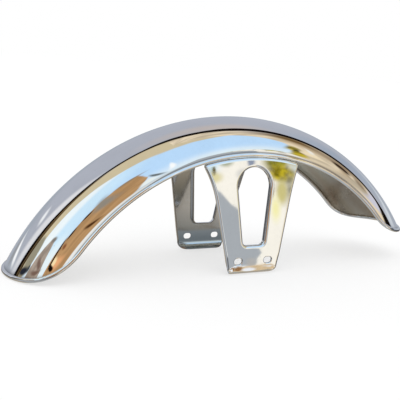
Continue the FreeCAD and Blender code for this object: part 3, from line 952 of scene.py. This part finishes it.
# what the flat legs pick out, close to the horizon on the near side
mirrored += [
    {"spot": (-31.3, -6.5, 4.6, 11.5, 0), "soft": 0.08, "color": (250, 245, 233)},
    {
        "soft": 0.14, "color": (168, 173, 178),
        "under": [
            (-33, -60), (-32.3, -14), (-32.2, -12.5), (-32.05, -10.6), (-31.9, -8), (-31.7, -5.6),
            (-31.4, -2.7), (-31, -0.8), (-30.2, -0.4), (-29.5, 0.1), (-28.75, 1), (-27.8, 1.5),
            (-27, 1.8), (-24, 2.0), (-22, -60),
        ],
    },
    {"spot": (-33.0, 3.4, 1.0, 1.0, 0), "soft": 0.4, "color": (132, 126, 44), "grain": (0.5, 2.2)},
    {"spot": (-34.4, 3.4, 0.7, 0.7, 0), "soft": 0.4, "color": (200, 194, 166)},
    {"spot": (-33.4, 2.2, 1.1, 0.6, 15), "soft": 0.4, "color": (164, 148, 34), "grain": (0.5, 2.2)},
    {"spot": (-34.2, 1.0, 0.6, 1.1, 0), "soft": 0.8, "color": (162, 158, 134), "grain": (0.35, 2.5)},
    {"spot": (-33.3, 0.9, 0.4, 0.9, 0), "soft": 0.5, "color": (206, 196, 132)},
    {"spot": (-32.5, 1.2, 0.22, 0.75, 0), "soft": 0.4, "color": (84, 60, 12)},
    {"spot": (-32.8, -0.3, 0.3, 0.8, 0), "soft": 0.9, "color": (246, 240, 176)},
    {"spot": (-34.0, -1.6, 0.4, 1.2, 0), "soft": 0.8, "color": (176, 172, 158)},
    {"spot": (-31.1, 3.4, 0.28, 0.7, 0), "soft": 0.4, "color": (138, 148, 168)},
    {"spot": (-29.2, 3.4, 0.6, 0.5, 0), "soft": 0.4, "color": (172, 176, 152)},
    {"spot": (-27.7, 3.4, 0.8, 1.0, 0), "soft": 0.4, "color": (206, 228, 230)},
    {"spot": (-28.2, 2.1, 0.7, 0.4, 0), "soft": 0.5, "color": (226, 216, 166)},
    {"spot": (-30.6, 2.3, 0.6, 0.4, 0), "soft": 0.5, "color": (216, 214, 208)},
    {"spot": (-33.0, -18.5, 1.0, 3.6, 0), "soft": 0.3, "color": (222, 200, 168)},
    {"spot": (-31.4, -18.5, 0.7, 3.2, 0), "soft": 0.3, "color": (240, 245, 250)},
    {"spot": (-30.3, -19.5, 0.6, 3.6, 0), "soft": 0.3, "color": (140, 118, 92)},
    {"spot": (-30.6, -27, 4.5, 4.5, 0), "soft": 0.3, "color": (176, 172, 162)},
    {"spot": (-28.3, -20, 1.5, 4.5, 0), "soft": 0.4, "color": (176, 172, 164)},
    {"spot": (-27.2, -20, 0.5, 4, 0), "soft": 0.5, "color": (112, 100, 86)},
    {"spot": (-28.3, 2.6, 0.14, 0.32, 0), "soft": 0.5, "color": (96, 84, 30)},
    {
        "on": "belt", "soft": 0.15, "color": (212, 188, 152), "grain": (0.25, 1.5),
        "spot": (-30.8, -55, 1.5, 36, 0),
    },
    {"on": "belt", "spot": (-29.8, -45, 0.3, 24, 0), "soft": 0.4, "color": (146, 108, 70)},
    {"on": "belt", "spot": (-30.55, -58, 0.5, 28, 0), "soft": 0.4, "color": (240, 243, 248)},
]
ground = {"near": (124, 118, 110), "deep": (70, 68, 66), "fade": (-10, -60)}


def linear(color):  # as written in 8-bit colour values, lifted by what the chrome keeps back
    values = [value / 255 for value in color]
    return [((value + 0.055) / 1.055) ** 2.4 / chromeOutside["color"][0] for value in values] + [1]


def domePlaces(tree):  # across and up in degrees, for each way of giving a place
    def degreesOf(kind, first, second=0.0):
        return maths(tree, "MULTIPLY", maths(tree, kind, first, second), math.degrees(1))

    unit = tree.nodes.new("ShaderNodeVectorMath")
    unit.operation = "NORMALIZE"
    tree.links.new(tree.nodes.new("ShaderNodeTexCoord").outputs["Object"], unit.inputs[0])
    split = tree.nodes.new("ShaderNodeSeparateXYZ")
    tree.links.new(unit.outputs[0], split.inputs[0])
    x, y, z = split.outputs
    left, near = maths(tree, "MULTIPLY", x, -1), maths(tree, "MULTIPLY", y, -1)
    up = degreesOf("ARCSINE", z)
    return {
        "front": (degreesOf("ARCTAN2", left, near), up),
        "back": (degreesOf("ARCTAN2", x, y), up),
        "belt": (degreesOf("ARCSINE", left), degreesOf("ARCTAN2", z, near)),
    }


def belowLine(tree, points, across, up):  # how many degrees a direction lies below a line
    curve = tree.nodes.new("ShaderNodeFloatCurve")
    low, high = points[0][0], points[-1][0]
    run = curve.mapping.curves[0].points
    spots = [((place - low) / (high - low), (rise + 90) / 180) for place, rise in points]
    run[0].location, run[-1].location = spots[0], spots[-1]
    for spot in spots[1:-1]:
        run.new(*spot)
    for spot in run:
        spot.handle_type = "VECTOR"
    curve.mapping.update()
    tree.links.new(spread(tree, across, low, high), curve.inputs["Value"])
    height = maths(tree, "SUBTRACT", maths(tree, "MULTIPLY", curve.outputs[0], 180), 90)
    return maths(tree, "SUBTRACT", height, up)


def sideMask(tree, layer, across, up):  # one side of a line, or what lies between two
    masks = []
    for side, soft in (("under", layer["soft"]), ("over", -layer["soft"])):
        if side in layer:
            below = belowLine(tree, layer[side], across, up)
            masks.append(spread(tree, below, -soft, soft, kind="SMOOTHSTEP"))
    return masks[0] if len(masks) == 1 else maths(tree, "MULTIPLY", *masks)


def ovalMask(tree, layer, spot):
    across, rise, half, tall, tilt = layer["spot"]
    reach = 1 + layer["soft"]
    oval = tree.nodes.new("ShaderNodeTexGradient")
    oval.gradient_type = "SPHERICAL"
    fit = oval.texture_mapping
    fit.vector_type = "TEXTURE"
    fit.translation = (across, rise, 0)
    fit.rotation = (0, 0, math.radians(tilt))
    fit.scale = (half * reach, tall * reach, 1)
    tree.links.new(spot, oval.inputs["Vector"])
    return spread(tree, oval.outputs["Fac"], 0, 2 * layer["soft"] / reach, kind="SMOOTHSTEP")


def grainy(tree, color, spot, share, scale):  # uneven colour, a share up and down
    dark, light = ([value * (1 + turn * share) for value in color[:3]] + [1] for turn in (-1, 1))
    uneven = noise(tree, spot, scale, stage["grainDetail"], stage["grainRough"], "2D")
    return mixColor(tree, spread(tree, uneven, *stage["grainRange"], kind="SMOOTHSTEP"), dark, light)


def paintDome(material):
    material.use_nodes = True
    tree = material.node_tree
    tree.nodes.clear()
    places = domePlaces(tree)
    spots = {}
    for key, pair in places.items():
        join = tree.nodes.new("ShaderNodeCombineXYZ")
        for value, socket in zip(pair, join.inputs):
            tree.links.new(value, socket)
        spots[key] = join.outputs[0]
    depth = spread(tree, places["front"][1], *ground["fade"], kind="SMOOTHSTEP")
    color = mixColor(tree, depth, linear(ground["near"]), linear(ground["deep"]))
    for layer in mirrored:
        key = layer.get("on", "front")
        if "spot" in layer:
            mask = ovalMask(tree, layer, spots[key])
        else:
            mask = sideMask(tree, layer, *places[key])
        tone = linear(layer["color"])
        if "grain" in layer:
            tone = grainy(tree, tone, spots[key], *layer["grain"])
        color = mixColor(tree, mask, color, tone)
    glow = tree.nodes.new("ShaderNodeEmission")
    tree.links.new(color, glow.inputs["Color"])
    end = tree.nodes.new("ShaderNodeOutputMaterial")
    tree.links.new(glow.outputs[0], end.inputs["Surface"])


def buildDome():
    mesh = bpy.data.meshes.new("mirrorDome")
    ball = bmesh.new()
    bmesh.ops.create_icosphere(ball, subdivisions=stage["domeSplits"], radius=stage["domeR"])
    ball.to_mesh(mesh)
    ball.free()
    dome = placed("mirrorDome", mesh)
    material = bpy.data.materials.new("mirroredPlace")
    paintDome(material)
    mesh.materials.append(material)
    dome.visible_camera = False
    dome.visible_diffuse = False
    dome.visible_shadow = False


buildFloor()
buildWorld()
buildSun()
buildDome()
print("stage made:", len(mirrored), "painted layers")

# Camera fitted to the photograph: degrees, millimetres, and pixels for focal, centre and frame
view = {
    "turn": 30.062,
    "drop": 8.11,
    "roll": 4.248,
    "distance": 1064.591,
    "aim": (0.0, 0.0, 250.0),  # from the axle
    "focal": 788.0,
    "centre": (232.67, 175.664),
    "frame": 400.0,
    "sensor": 36.0,
    "nearest": 10.0,
}


def buildCamera():
    turn, drop, roll = [math.radians(view[key]) for key in ("turn", "drop", "roll")]
    ahead = Vector((math.sin(turn) * math.cos(drop), math.cos(turn) * math.cos(drop), -math.sin(drop)))
    right = Vector((math.cos(turn), -math.sin(turn), 0))
    up = right.cross(ahead)
    across = right * math.cos(roll) + up * math.sin(roll)
    upright = up * math.cos(roll) - right * math.sin(roll)
    place = (Vector(view["aim"]) - ahead * view["distance"] + axle) * mm
    data = bpy.data.cameras.new("photoCamera")
    data.sensor_width = view["sensor"]
    data.lens = view["focal"] / view["frame"] * view["sensor"]
    data.shift_x = 0.5 - view["centre"][0] / view["frame"]
    data.shift_y = view["centre"][1] / view["frame"] - 0.5
    data.clip_start = view["nearest"] * mm
    camera = placed("photoCamera", data)
    camera.matrix_world = Matrix((
        (across.x, upright.x, -ahead.x, place.x),
        (across.y, upright.y, -ahead.y, place.y),
        (across.z, upright.z, -ahead.z, place.z),
        (0, 0, 0, 1),
    ))
    bpy.context.scene.camera = camera


buildCamera()
bpy.context.scene.view_settings.view_transform = "Standard"
print("camera set")
